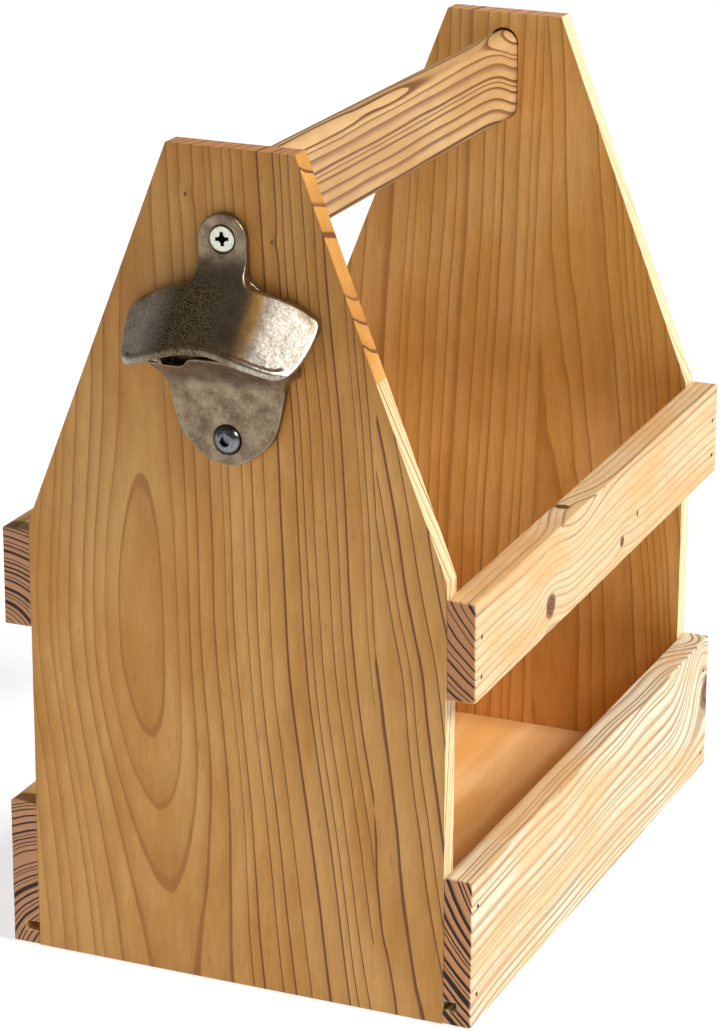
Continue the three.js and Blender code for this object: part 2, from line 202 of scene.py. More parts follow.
def pine(
    name,
    along,
    stems,
    palette,
    line=0.16,
    wander=1.6,
    contrast=1.0,
    knots=(),
    seed=0.0,
    golden=None,
    deep=None,
):
    """Solid pine, with rings round the pith line of each stem. A board glued up from two staves has two
    stems, and the second one starts at its "from" in X. Every cut through the solid shows the same rings."""
    r = Recipe(name, {"Specular IOR Level": 0.42})
    along = Vector(along)
    across = Vector((1, 1, 1)) - along
    place = r.place_mm()
    seeded = r.vector("ADD", place, (seed * 31, seed * 47, seed * 19))

    # The pith line wanders, and the rings waver a little about it.
    slow = r.noise(r.vector("MULTIPLY", seeded, tuple(along / 120 + across / 65)), 1.0, 0.4, "Color")
    fast = r.noise(r.vector("MULTIPLY", seeded, tuple(along / 36 + across / 8)), 1.0, 0.4, "Color")
    drift = r.vector("ADD", r.scaled(slow, 7.0 * wander), r.scaled(fast, 0.7))
    drift = r.vector("SUBTRACT", drift, (3.5 * wander + 0.35,) * 3)
    drift = r.vector("MULTIPLY", drift, tuple(across))

    count = stem_rings(r, place, along, stems[0], drift)
    beyond = 0.0
    for stem in stems[1:]:
        x = r.vector("DOT_PRODUCT", place, (1.0, 0.0, 0.0), output="Value")
        beyond = r.math("GREATER_THAN", x, stem["from"])
        count = count * (1.0 - beyond) + stem_rings(r, place, along, stem, drift) * beyond
    cores = []
    for knot in knots:
        core, swell = knot_shape(r, place, along, knot)
        count = count + swell
        if core is not None:
            cores.append(core)

    uneven = r.node("TexNoise", {"noise_dimensions": "1D"}, {"W": count / 3.3 + seed, "Scale": 1.0})
    count = count + uneven * 2.6
    part = r.math("FRACT", count)
    which = r.node("TexWhiteNoise", {"noise_dimensions": "1D"}, {"W": r.math("FLOOR", count)}, "Value")
    cloud = r.noise(r.vector("MULTIPLY", seeded, tuple(along / 80 + across / 22)), 3.0, 0.6)
    late = r.rise(part, 0.94 - line * 1.5, 0.97 - line * 0.4) - r.rise(part, 0.955, 1.0)
    late = r.clamped(late * (0.45 + which * 0.55) * contrast)
    amber = r.rise(cloud, 0.4, 0.6)
    if golden is not None:
        x = r.vector("DOT_PRODUCT", place, (1.0, 0.0, 0.0), output="Value")
        amber = 1.0 - r.rise(x + cloud * 60.0, golden, golden + 45.0)
        late = late * (1.0 - amber * 0.4)
    shoulder = r.rise(part, 0.2, 0.95) - r.rise(part, 0.95, 1.0)

    # Fine fibres, the short brown threads of the resin ducts, and slow changes of tone.
    fibre = r.noise(r.vector("MULTIPLY", seeded, tuple(along / 14 + across * 1.9)), 4.0, 0.68)
    ducts = r.rise(r.noise(r.vector("MULTIPLY", seeded, tuple(along / 7 + across * 1.7)), 1.0, 0.3), 0.7, 0.8)
    mottle = r.noise(r.vector("MULTIPLY", seeded, tuple(along / 9 + across / 3)), 3.0, 0.65)

    face = r.mix(r.rise(cloud, 0.35, 0.65), palette["early"], palette["warm"])
    if stems[1:]:
        # Painted highlight: the narrow edges of the right-hand stave, which face the key light, are made
        # paler.
        face = r.mix(beyond * r.sawn_edge() * 0.85, face, palette["lit_edge"])
    face = r.mix(shoulder * 0.28, face, palette["gold"])
    dark = r.mix(amber, palette["late"], palette["gold"])
    face = r.mix(late * 0.9, face, dark)
    face = r.mix(ducts * 0.3, face, palette["late"])

    normal = r.node("NewGeometry", {}, {}, "True Normal")
    facing = r.math("ABSOLUTE", r.vector("DOT_PRODUCT", normal, tuple(along), output="Value"))
    end = r.rise(facing, 0.55, 0.95)
    grain = r.clamped(late * 1.7 + shoulder * 0.14 + ducts * 0.2)
    base = r.mix(end, face, r.mix(grain, palette["end_early"], palette["end_late"]))

    shade = 0.63 + fibre * 0.5 + mottle * 0.24
    tint = r.node("CombineColor", {}, {0: shade, 1: shade, 2: shade})
    base = r.mix(1.0, base, tint, "MULTIPLY")
    # Painted shade: the colour darkens towards the top, with a cloudy edge.
    if deep is not None:
        z = r.vector("DOT_PRODUCT", place, (0.0, 0.0, 1.0), output="Value")
        base = r.mix(r.rise(z + cloud * 40.0, *deep), base, TOP_SHADE, "MULTIPLY")
    for core in cores:
        ringed = r.math("SINE", core * 22.0) * 0.5 + 0.5
        base = r.mix(r.rise(core, 0.02, 0.35), base, r.mix(ringed, KNOT_DARK, KNOT_RED))
    rough = 0.5 + fibre * 0.16 - late * 0.1 + end * 0.14
    height = fibre * 0.5 + late * 0.35 - end * ducts * 0.4
    return r.finish(base, rough, height, 0.09)


def knot_shape(r, place, along, knot):
    """How much of a place lies in a knot, from 1 on its axis to 0 at its rim, and how many rings it is
    pushed by."""
    axis = Vector(knot["axis"]).normalized()
    offset = r.vector("SUBTRACT", place, tuple(knot["at"]))
    reach = r.vector("DOT_PRODUCT", offset, tuple(axis), output="Value")
    offset = r.vector("SUBTRACT", offset, r.scaled(tuple(axis), reach))
    squeeze = Vector((1, 1, 1)) - along * knot.get("drawn_out", 0.4)
    away = r.vector("LENGTH", r.vector("MULTIPLY", offset, tuple(squeeze)), output="Value")
    swell = r.math("EXPONENT", away * away * (-1.0 / knot["spread"] ** 2)) * knot["rings"]
    if not knot.get("core"):
        return None, swell
    ragged = r.noise(r.scaled(place, 0.5), 2.0)
    core = r.clamped(1.0 - away * (0.75 + ragged * 0.5) / knot["core"])
    return core, swell


def plywood(name):
    """The face veneer of thin sheet: smooth, with fine pores along the carrier."""
    r = Recipe(name, {"Specular IOR Level": 0.4})
    place = r.place_mm()
    flow = r.noise(r.vector("MULTIPLY", place, (0.09, 0.012, 0.09)), 3.0, 0.55)
    pores = r.noise(r.vector("MULTIPLY", place, (3.2, 0.22, 3.2)), 3.0, 0.6)
    base = r.mix(r.rise(flow, 0.3, 0.7), colour("f2c186"), colour("dfa55c"))
    base = r.mix(r.rise(pores, 0.55, 0.8) * 0.5, base, colour("90582a"))
    return r.finish(base, 0.5 + pores * 0.15, pores, 0.03)


# ---- Metals ----
def antique_casting():
    """Nickel over a casting: clouded on the plate, sandy and dark in the hood's middle, ground smooth on its
    wings with a painted highlight on the right wing and a painted golden edge along that highlight, and
    rubbed a little brighter on what stands proud."""
    r = Recipe("antique_casting", {"Metallic": 1.0, "Specular IOR Level": 0.5})
    place = r.place_mm()
    clouds = r.noise(r.scaled(place, 0.16), 4.0, 0.62)
    speckle = r.noise(r.scaled(place, 1.1), 4.0, 0.72)
    grit = r.noise(r.scaled(place, 2.4), 3.0, 0.7)
    scuff = r.noise(r.vector("MULTIPLY", place, (0.35, 0.35, 2.1)), 3.0, 0.6)
    marks = ("proud", "ground_and_lit_wing", "sandy", "highlight_edge")
    proud, ground_and_lit_wing, sandy, highlight_edge = [r.node("Attribute", {"attribute_name": mark}, {}, "Fac") for mark in marks]
    tarnish = r.rise(clouds + (speckle - 0.5) * 0.5, 0.3, 0.72)
    base = r.mix(tarnish, colour("6f5d4a"), colour("a08f76"))
    sand = r.mix(r.rise(grit, 0.42, 0.64), colour("2e251e"), colour("a8926f"))
    base = r.mix(r.clamped(sandy * (0.75 + clouds * 0.5)), base, sand)
    # Ground smooth and lighter on the wings; the right wing takes the full share and the left about a third,
    # which paints in the highlight from the key light on the right.
    base = r.mix(ground_and_lit_wing * 0.85, base, r.mix(r.rise(speckle, 0.4, 0.66), colour("a3978a"), colour("d6d0c4")))
    # Painted highlight: a golden band along the edge of the right wing's highlight.
    base = r.mix(highlight_edge * 0.8, base, colour("dca352"))
    base = r.mix(r.rise(proud, 0.3, 1.0) * 0.4, base, colour("a3957f"))
    base = r.mix(r.rise(speckle, 0.6, 0.8) * (0.5 - ground_and_lit_wing * 0.3), base, colour("33271d"))
    rough = 0.42 - tarnish * 0.08 + (scuff - 0.5) * 0.14 + sandy * 0.1 - ground_and_lit_wing * 0.04
    return r.finish(base, rough, speckle * 0.35 + grit * (sandy * 0.9 + 0.3), 0.12)


def plated_steel(name, base, roughness, mark):
    """Drawn and plated steel with a brushed, slightly handled surface."""
    r = Recipe(name, {"Metallic": 1.0})
    place = r.place_mm()
    handled = r.noise(r.scaled(place, 0.8), 4.0, 0.6)
    fine = r.noise(r.scaled(place, 5.0), 2.0, 0.5)
    tone = r.mix(r.rise(handled, 0.42, 0.75) * 0.6, base, mark)
    return r.finish(tone, roughness + handled * 0.16, fine, 0.02)


# ---- Making meshes ----
def new_object(name, bm, materials):
    mesh = bpy.data.meshes.new(name)
    bm.to_mesh(mesh)
    bm.free()
    for material in materials:
        mesh.materials.append(material)
    made = bpy.data.objects.new(name, mesh)
    bpy.context.scene.collection.objects.link(made)
    return made


def settle(made):
    """Turns an object's modifiers into its mesh."""
    depsgraph = bpy.context.evaluated_depsgraph_get()
    mesh = bpy.data.meshes.new_from_object(made.evaluated_get(depsgraph))
    made.modifiers.clear()
    made.data = mesh
    return made


def carve(made, cutters):
    """Cuts every cutter out of a piece and throws the cutters away."""
    for cutter in cutters:
        knife = made.modifiers.new("cut", "BOOLEAN")
        knife.object = cutter
        knife.operation = "DIFFERENCE"
        knife.solver = "EXACT"
    settle(made)
    for cutter in cutters:
        bpy.data.objects.remove(cutter)
    return made


def swept(outline, front, rear):
    """A closed shape: an outline in X and Z, in millimetres, swept along Y."""
    bm = bmesh.new()
    ends = [[bm.verts.new(Vector((x, y, z)) * MM) for x, z in outline] for y in (front, rear)]
    bm.faces.new(ends[0])
    bm.faces.new(reversed(ends[1]))
    for i in range(len(outline)):
        j = (i + 1) % len(outline)
        bm.faces.new((ends[0][j], ends[0][i], ends[1][i], ends[1][j]))
    bmesh.ops.recalc_face_normals(bm, faces=bm.faces[:])
    return bm


def turned(profile, steps):
    """A closed turned shape about Z from pairs of radius and height in millimetres, lowest first."""
    bm = bmesh.new()
    rings = []
    for radius, z in profile:
        if radius == 0:
            rings.append([bm.verts.new((0, 0, z * MM))] * steps)
            continue
        turns = [2 * math.pi * i / steps for i in range(steps)]
        ring = [Vector((radius * math.cos(a), radius * math.sin(a), z)) for a in turns]
        rings.append([bm.verts.new(corner * MM) for corner in ring])
    for low, high in zip(rings, rings[1:]):
        for i in range(steps):
            j = (i + 1) % steps
            corners = list(dict.fromkeys((low[i], low[j], high[j], high[i])))
            bm.faces.new(corners)
    bmesh.ops.recalc_face_normals(bm, faces=bm.faces[:])
    return bm


def sharp_edges(bm, least=math.radians(25)):
    return [e for e in bm.edges if e.is_manifold and e.calc_face_angle(0) > least]


def worn(bm, seed, step=6.0, edge=EDGE, wear=0.22):
    """Rounds over the edges of a board, unevenly, as sanding and handling do. Flat faces stay flat."""
    low = Vector([min(v.co[i] for v in bm.verts) for i in range(3)])
    high = Vector([max(v.co[i] for v in bm.verts) for i in range(3)])
    for axis in range(3):
        normal = Vector([float(i == axis) for i in range(3)])
        cuts = int((high[axis] - low[axis]) / (step * MM))
        for i in range(1, cuts):
            co = low.copy()
            co[axis] = low[axis] + (high[axis] - low[axis]) * i / cuts
            whole = bm.verts[:] + bm.edges[:] + bm.faces[:]
            bmesh.ops.bisect_plane(bm, geom=whole, plane_co=co, plane_no=normal)
    for face in bm.faces:
        face.smooth = False
    edges = sharp_edges(bm)
    settings = {"segments": 3, "profile": 0.5, "affect": "EDGES", "clamp_overlap": True}
    bevel = bmesh.ops.bevel(bm, geom=edges, offset=edge * MM, **settings)
    rounded = set(bevel["faces"])
    for face in rounded:
        face.smooth = True
    bm.normal_update()
    for vert in bm.verts:
        if vert.link_faces and all(face in rounded for face in vert.link_faces):
            place = vert.co / MM
            hollow = max(0.0, noise.noise(place * 0.16 + Vector((seed, 0, 0)))) * 1.5
            nick = max(0.0, noise.noise(place * 0.5 + Vector((0, seed, 0))) - 0.45) * 2.4
            vert.co -= vert.normal * (hollow + nick) * wear * MM
    return bm


def show(made, node):
    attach(made, "root")
    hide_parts(node)
    return made


# ---- Where the boards are ----
front_low, front_high = box_mm("front_panel")
rear_low, _ = box_mm("rear_panel")
handle_low, handle_high = box_mm("handle")
HALF_WIDTH = front_high.x
HALF_TOP = 22.35
SHOULDER = 154.0
HEIGHT = front_high.z
BOARDS = {
    "upper_slat_right": {"side": 1, "tilt": SLAT_TILT},
    "upper_slat_left": {"side": -1, "tilt": 0.0},
    "lower_board_right": {"side": 1, "tilt": 0.0},
    "lower_board_left": {"side": -1, "tilt": 0.0},
}


def nail_cutters(nodes):
    """Holes for nails: each as deep as its nail, and wide enough at the mouth for the head."""
    cutters = []
    for node in nodes:
        low, high = box_mm(node)
        centre = (low + high) / 2
        side = 1 if centre.x > 0 else -1
        head = high.x if side > 0 else -low.x
        reach = high.x - low.x
        profile = [
            (0, -reach - 0.3),
            (NAIL["shank"], -reach + 1.6),
            (NAIL["shank"], -NAIL["head_height"] - 0.1),
            (NAIL["head"], -NAIL["head_height"] / 2),
            (NAIL["head"], 1.5),
            (0, 1.5),
        ]
        cutter = new_object("cutter", turned(profile, 16), [])
        turn = Matrix.Rotation(side * math.pi / 2, 4, "Y")
        cutter.data.transform(Matrix.Translation(Vector((side * head, centre.y, centre.z)) * MM) @ turn)
        cutters.append(cutter)
    return cutters


def nails_of(board, end=None):
    names = [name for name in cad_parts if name.startswith("nail_" + board)]
    return sorted(name for name in names if end is None or f"_{end}_" in name)


# ---- Side boards ----
def side_board(name, material):
    side = BOARDS[name]["side"]
    tilt = BOARDS[name]["tilt"]
    low, high = box_mm(name)
    size = high - low
    centre = (low + high) / 2
    length = (size.y * math.cos(tilt) - size.z * math.sin(tilt)) / math.cos(2 * tilt)
    height = (size.z * math.cos(tilt) - size.y * math.sin(tilt)) / math.cos(2 * tilt)
    inner, outer = (low.x, high.x) if side > 0 else (high.x, low.x)
    outline = [(inner, -height / 2), (outer, -height / 2), (outer, height / 2), (inner, height / 2)]
    if name.startswith("lower"):
        reach = inner + side * GROOVE["depth"]
        floor, top = GROOVE["floor"] - height / 2, GROOVE["top"] - height / 2
        outline += [(inner, top), (reach, top), (reach, floor), (inner, floor)]
    if side < 0:
        outline = outline[::-1]
    bm = worn(swept(outline, -length / 2, length / 2), seed=len(name) * 1.7 + side)
    made = new_object(name + "_pine", bm, [material])
    place = Matrix.Translation(Vector((0, centre.y, centre.z)) * MM)
    made.data.transform(place @ Matrix.Rotation(tilt, 4, "X"))
    carve(made, nail_cutters(nails_of(name)))
    return show(made, name)


# ---- End panels ----
def stadium(centre_x, bottom, width, height, steps=18):
    """An outline with straight sides and round ends."""
    r = width / 2
    points = []
    for middle, start in ((bottom + height - r, 0.0), (bottom + r, math.pi)):
        for i in range(steps + 1):
            a = start + math.pi * i / steps
            points.append((centre_x + r * math.cos(a), middle + r * math.sin(a)))
    return points


def end_panel(name, material, cutters):
    low, high = box_mm(name)
    outline = [
        (-HALF_WIDTH, 0.0),
        (HALF_WIDTH, 0.0),
        (HALF_WIDTH, SHOULDER),
        (HALF_TOP, HEIGHT),
        (-HALF_TOP, HEIGHT),
        (-HALF_WIDTH, SHOULDER),
    ]
    bm = worn(swept(outline, low.y, high.y), seed=low.y, step=7.0)
    made = new_object(name + "_pine", bm, [material])
    carve(made, cutters)
    return show(made, name)


def mortise_cutter(face, deep):
    """The round-ended pocket for the handle's end, from an inner face to its floor."""
    gap = MORTISE["gap"]
    width = handle_high.x - handle_low.x + 2 * gap
    height = handle_high.z - handle_low.z + gap + MORTISE["top_gap"]
    outline = stadium(0.0, handle_low.z - gap, width, height)
    return new_object("cutter", swept(outline, min(face, deep), max(face, deep)), [])


def handle_bar(material):
    width = handle_high.x - handle_low.x
    height = handle_high.z - handle_low.z
    outline = stadium(0.0, handle_low.z, width, height)
    bm = worn(swept(outline, handle_low.y, handle_high.y), seed=3.0, edge=0.4)
    straight = [f for f in bm.faces if abs(f.normal.y) < 0.5]
    for face in straight:
        face.smooth = True
    made = new_object("handle_pine_bar", bm, [material])
    return show(made, "handle")


def deck_sheet(material):
    low, high = box_mm("bottom_panel")
    outline = [(low.x, low.z), (high.x, low.z), (high.x, high.z), (low.x, high.z)]
    bm = worn(swept(outline, low.y, high.y), seed=9.0, step=12.0, edge=0.25)
    made = new_object("bottom_panel_ply", bm, [material])
    return show(made, "bottom_panel")


# ---- Opener ----
# Its own frame: X across, Y up from the foot of the plate, Z out from the panel.
OPENER_ROLL = math.radians(1.2)
PLATE = {"thick": 3.0, "tab": 8.3, "height": 82.5}
HOOD = {"start": 66.0, "flow": 1.8, "fall": 0.95, "wing": 13.4, "soft": 2.8, "back": 0.78, "wall": 3.8}
LIP = {
    "low": 24.5,
    "high": 33.6,
    "half": 24.6,
    "tongue": 5.6,
    "reach": 9.5,
    "out": 6.0,
    "crown": 2.0,
    "curl": 1.5,  # how late it curls outwards: 1 is a straight slope
    "furthest": 1.5,  # as a share of its rise, where the tongue stops curling outwards
    "wall": 3.2,
    "seat": 0.2,  # the least that its underside stands off the panel
}
SCREWS = {"top": 74.3, "bottom": 8.6}
SINKS = {
    "top": {"hole": 2.6, "mouth": 4.75, "depth": 2.4},
    "bottom": {"hole": 2.6, "mouth": 5.1, "depth": 2.0},
}
BEAD = 1.6  # the radius of the hood's rim
CAST_GRAIN = 0.36  # the size of the cells that the casting is rebuilt from
HOOD_FOOT = 34.0  # below this, nothing belongs to the hood
SANDY = {"middle": -8.0, "half": 14.0}  # the rough dark middle of the hood
HIGHLIGHT_EDGE_BAND = {"middle": 14.5, "half": 2.4}  # the painted golden edge of the highlight, between the sandy middle and the right wing's painted highlight
SHANK = 1.9
HEAD = 4.2
DOME = {"radius": 4.6, "crown": 2.3, "flat": 2.3, "socket": 1.85}

# Right halves of outlines, from bottom to top.
HOOD_EDGE = [
    (0, 42.4), (5, 42.1), (10, 41.0), (15, 39.5), (20, 37.6), (24, 36.2), (26.5, 35.8), (28.8, 36.6),
    (30.6, 38.8), (32, 42.2), (32.8, 45.8), (32.9, 48.6), (32, 50.6), (30, 52.1), (26.5, 54.3), (23, 56.1),
    (18.6, 57.9), (13.2, 59.5), (10.3, 60.6), (8.9, 62.3), (8.3, 65), (8.3, 73.5),
]
PLATE_EDGE = [
    (0, 0), (5, 0.8), (9, 3), (12.4, 5.6), (15, 8.4), (16.9, 11.6), (18.1, 15), (19, 18.5), (19.7, 22),
    (20.4, 25), (21.2, 28), (22.5, 30.4), (24, 32.4), (24.6, 34.2), (24, 37), (21.5, 42), (20.7, 46),
    (18.4, 52), (14.5, 57), (10.3, 60.6), (8.9, 62.3), (8.3, 65),
]
LIP_EDGE = [(19.5, 24.5), (21.2, 28), (22.5, 30.4), (24.3, 32.4), (24.8, 34)]


def arc(cx, cy, r, start, end, steps):
    turns = [math.radians(start + (end - start) * i / steps) for i in range(steps + 1)]
    return [(cx + r * math.cos(a), cy + r * math.sin(a)) for a in turns]


def smooth_curve(points, steps=5):
    """Points on a smooth curve through the given ones."""
    ends = [points[0], *points, points[-1]]
    curve = []
    for p0, p1, p2, p3 in zip(ends, ends[1:], ends[2:], ends[3:]):
        for i in range(steps):
            t = i / steps
            shares = (-t + 2 * t**2 - t**3, 2 - 5 * t**2 + 3 * t**3, t + 4 * t**2 - 3 * t**3, t**3 - t**2)
            curve.append(tuple(sum(s * p[k] for s, p in zip(shares, (p0, p1, p2, p3))) / 2 for k in (0, 1)))
    return curve + [points[-1]]


def both_sides(right):
    """A whole outline from its right half, given from bottom to top."""
    return right + [(-x, y) for x, y in reversed(right) if x > 1e-6]


def extruded(outline, low, high):
    bm = bmesh.new()
    ends = [[bm.verts.new(Vector((x, y, z)) * MM) for x, y in outline] for z in (low, high)]
    bm.faces.new(ends[0])
    bm.faces.new(ends[1])
    for i in range(len(outline)):
        j = (i + 1) % len(outline)
        bm.faces.new((ends[0][i], ends[0][j], ends[1][j], ends[1][i]))
    bmesh.ops.recalc_face_normals(bm, faces=bm.faces[:])
    return bm


def share(value, low, high, most=1.0):
    """How far a value has gone from low to high, from 0 to the most allowed."""
    return min(max((value - low) / (high - low), 0.0), most)


def softly(value, softness):
    """Zero below zero and value above it, with a soft bend between."""
    return softness * math.log1p(math.exp(value / softness))


def slab(half, low, high, columns, rows, surfaces):
    """The solid between two surfaces over a rectangle: surfaces(x, y) gives its lower and upper height."""
    bm = bmesh.new()
    layers = []
    for side in (0, 1):
        grid = []
        for j in range(rows + 1):
            y = low + (high - low) * j / rows
            across = [half * (2 * i / columns - 1) for i in range(columns + 1)]
            grid.append([bm.verts.new(Vector((x, y, surfaces(x, y)[side])) * MM) for x in across])
        layers.append(grid)
    under, over = layers
    for j in range(rows):
        for i in range(columns):
            bm.faces.new((over[j][i], over[j][i + 1], over[j + 1][i + 1], over[j + 1][i]))
            bm.faces.new((under[j][i], under[j + 1][i], under[j + 1][i + 1], under[j][i + 1]))
    rim = [(0, i) for i in range(columns)] + [(j, columns) for j in range(rows)]
    rim += [(rows, i) for i in range(columns, 0, -1)] + [(j, 0) for j in range(rows, 0, -1)]
    for (j, i), (l, k) in zip(rim, rim[1:] + rim[:1]):
        bm.faces.new((over[j][i], over[l][k], under[l][k], under[j][i]))
    bmesh.ops.recalc_face_normals(bm, faces=bm.faces[:])
    return bm


def hood_face(x, y):
    """How far the hood stands out: it flows out of the plate as it comes down, and its wings turn back."""
    out = PLATE["thick"] + HOOD["fall"] * softly(HOOD["start"] - y, HOOD["flow"])
    return out - HOOD["back"] * softly(abs(x) - HOOD["wing"], HOOD["soft"])


def hood_back(face):
    """The hood's underside below a face at the given height: a wall's thickness in, but not behind the
    plate."""
    return max(face - HOOD["wall"], min(0.1, face - 1.0))


def lip_face(x, y):
    up = share(y, LIP["low"], LIP["high"], LIP["furthest"])
    return PLATE["thick"] + (LIP["out"] + LIP["crown"] * (1 - (x / LIP["half"]) ** 2)) * up ** LIP["curl"]


def lip_back(x, y):
    return max(lip_face(x, y) - LIP["wall"], LIP["seat"])


def lip_top(x):
    return LIP["high"] + LIP["tongue"] * math.exp(-((abs(x) / LIP["reach"]) ** 4))


def within(made, other, operation):
    """Joins two solids, or keeps only what they share."""
    change = made.modifiers.new("change", "BOOLEAN")
    change.object = other
    change.operation = operation
    change.solver = "EXACT"
    settle(made)
    bpy.data.objects.remove(other)
    return made


def hood_solid():
    sheet = slab(35, HOOD_FOOT, 75, 70, 41, lambda x, y: (hood_back(hood_face(x, y)), hood_face(x, y)))
    edge = both_sides(smooth_curve(HOOD_EDGE))
    return within(new_object("hood", sheet, []), new_object("edge", extruded(edge, -5, 45), []), "INTERSECT")


def hood_bead():
    """The thick rounded rim along the hood's lower edge."""
    low = [p for p in smooth_curve(HOOD_EDGE) if p[1] < 46]
    path = [(-x, y) for x, y in reversed(low) if x > 0.5] + low
    bm = bmesh.new()
    rings = []
    for i, (x, y) in enumerate(path):
        before, after = path[max(i - 1, 0)], path[min(i + 1, len(path) - 1)]
        run = Vector((after[0] - before[0], after[1] - before[1], 0)).normalized()
        inwards = Vector((-run.y, run.x, 0))
        centre = Vector((x, y, hood_face(x, y) - BEAD + 0.05)) + inwards * (BEAD - 0.1)
        turns = [math.radians(36 * k) for k in range(10)]
        ring = [centre + (inwards * math.cos(a) + Vector((0, 0, 1)) * math.sin(a)) * BEAD for a in turns]
        rings.append([bm.verts.new(corner * MM) for corner in ring])
    for near, far in zip(rings, rings[1:]):
        for k in range(10):
            bm.faces.new((near[k], near[(k + 1) % 10], far[(k + 1) % 10], far[k]))
    bm.faces.new(rings[0])
    bm.faces.new(rings[-1])
    bmesh.ops.triangulate(bm, faces=bm.faces[:])
    bmesh.ops.recalc_face_normals(bm, faces=bm.faces[:])
    return new_object("bead", bm, [])


def lip_solid():
    sheet = slab(27, LIP["low"], 40, 54, 24, lambda x, y: (lip_back(x, y), lip_face(x, y)))
    sides = smooth_curve(LIP_EDGE, 4)
    across = [(x / 2, lip_top(x / 2)) for x in range(46, 0, -2)]
    edge = both_sides([*sides, *across])
    return within(new_object("lip", sheet, []), new_object("edge", extruded(edge, -5, 30), []), "INTERSECT")


def cheek(side):
    """The flared wall that closes one end of the mouth and ties the hood, the plate and the lip together."""
    inside = [(0, 28), (5, 29), (8.4, 33), (18.5, 42.5), (4.6, 56), (0, 56)]
    outside = [(0, 31), (4.5, 31.6), (7.6, 34), (12.0, 40.5), (3.2, 52), (0, 52)]
    bm = bmesh.new()
    ends = []
    for x, profile in ((19.4, inside), (25.2, outside)):
        ends.append([bm.verts.new(Vector((side * x, y, z)) * MM) for z, y in profile])
    bm.faces.new(ends[0])
    bm.faces.new(ends[1])
    for i in range(len(inside)):
        j = (i + 1) % len(inside)
        corners = (ends[0][i], ends[0][j], ends[1][j], ends[1][i])
        bm.faces.new(corners[:3])
        bm.faces.new((corners[0], corners[2], corners[3]))
    bmesh.ops.recalc_face_normals(bm, faces=bm.faces[:])
    return bm


def opener_place():
    low, _ = box_mm("bottle_opener")
    foot = Vector((0.0, front_low.y - 0.05, low.z)) * MM
    upright = Matrix.Rotation(math.pi / 2, 4, "X")
    return Matrix.Translation(foot) @ upright @ Matrix.Rotation(OPENER_ROLL, 4, "Z")


def casting(material):
    """The opener's parts, joined and rebuilt as one skin with soft cast edges."""
    tab = arc(0, PLATE["height"] - PLATE["tab"], PLATE["tab"], 0, 90, 14)
    plate = extruded(both_sides(smooth_curve(PLATE_EDGE) + tab), 0, PLATE["thick"])
    made = new_object("bottle_opener_casting", plate, [material])
    cheeks = [new_object("cheek", cheek(side), []) for side in (1, -1)]
    for part in (hood_solid(), hood_bead(), lip_solid(), *cheeks):
        within(made, part, "UNION")
    rebuild = made.modifiers.new("rebuild", "REMESH")
    rebuild.mode = "VOXEL"
    rebuild.voxel_size = CAST_GRAIN * MM
    settle(made)
    soften = made.modifiers.new("soften", "SMOOTH")
    soften.factor = 0.5
    soften.iterations = 12
    settle(made)
    mark_finish(made.data)
    uneven(made.data)
    face = PLATE["thick"]
    holes = []
    for place, height in SCREWS.items():
        sink = SINKS[place]
        profile = [
            (0, -1),
            (sink["hole"], -1),
            (sink["hole"], face - sink["depth"]),
            (sink["mouth"], face - 0.1),
            (sink["mouth"] + 0.2, face + 6),
            (0, face + 6),
        ]
        hole = new_object("cutter", turned(profile, 40), [])
        hole.data.transform(Matrix.Translation(Vector((0, height, 0)) * MM))
        holes.append(hole)
    for polygon in made.data.polygons:
        polygon.use_smooth = True
    carve(made, holes)
    made.data.transform(opener_place())
    return show(made, "bottle_opener")


def mark_finish(mesh):
    """Stores how far each point stands proud of those round it, where the hood is sandy, where it is ground
    smooth with a painted highlight added on the right wing, and where the painted golden edge of that
    highlight runs."""
    bm = bmesh.new()
    bm.from_mesh(mesh)
    bm.normal_update()
    heights = []
    for vert in bm.verts:
        around = [edge.other_vert(vert).co for edge in vert.link_edges]
        middle = sum(around, Vector()) / max(len(around), 1)
        heights.append((vert.co - middle).dot(vert.normal) / (CAST_GRAIN * MM))
    for _ in range(3):
        near = [sum(heights[e.other_vert(v).index] for e in v.link_edges) for v in bm.verts]
        heights = [(heights[v.index] + total) / (1 + len(v.link_edges)) for v, total in zip(bm.verts, near)]
    ground_and_lit_wing = []
    for vert in bm.verts:
        x, y, z = vert.co / MM
        on_hood = share(z, 4.0, 6.0) * (y > HOOD_FOOT)
        # The right wing gets the full share as painted highlight from the key light; the left wing gets a
        # third.
        lit_side = 1.0 if x > 0 else 0.35
        ground_and_lit_wing.append(on_hood * lit_side * share(abs(x), 12.0, 18.0))
    sandy = []
    highlight_edge = []
    for vert in bm.verts:
        x, y, z = vert.co / MM
        on_hood = share(z, 3.6, 8.6) * (y > HOOD_FOOT + 2)
        # A painted golden edge along the highlight on the right wing.
        edge_band = math.exp(-(((x - HIGHLIGHT_EDGE_BAND["middle"]) / HIGHLIGHT_EDGE_BAND["half"]) ** 2))
        sandy.append(on_hood * math.exp(-((abs(x - SANDY["middle"]) / SANDY["half"]) ** 4)))
        highlight_edge.append(on_hood * (x > 0) * edge_band * share(y, 40, 49))
    bm.free()
    proud = [min(max(h * 14.0, 0.0), 1.0) for h in heights]
    marks = {"proud": proud, "ground_and_lit_wing": ground_and_lit_wing, "sandy": sandy, "highlight_edge": highlight_edge}
    for name, values in marks.items():
        mesh.attributes.new(name, "FLOAT", "POINT").data.foreach_set("value", values)


def uneven(mesh):
    """Gives the casting the slight swell and dents of a sand mould."""
    outward = [normal.vector.copy() for normal in mesh.vertex_normals]
    for vert, normal in zip(mesh.vertices, outward):
        place = vert.co / MM
        if place.z > 0.6:
            swell = noise.noise(place * 0.11) * 0.1 + noise.noise(place * 0.45) * 0.025
            vert.co += normal * swell * MM


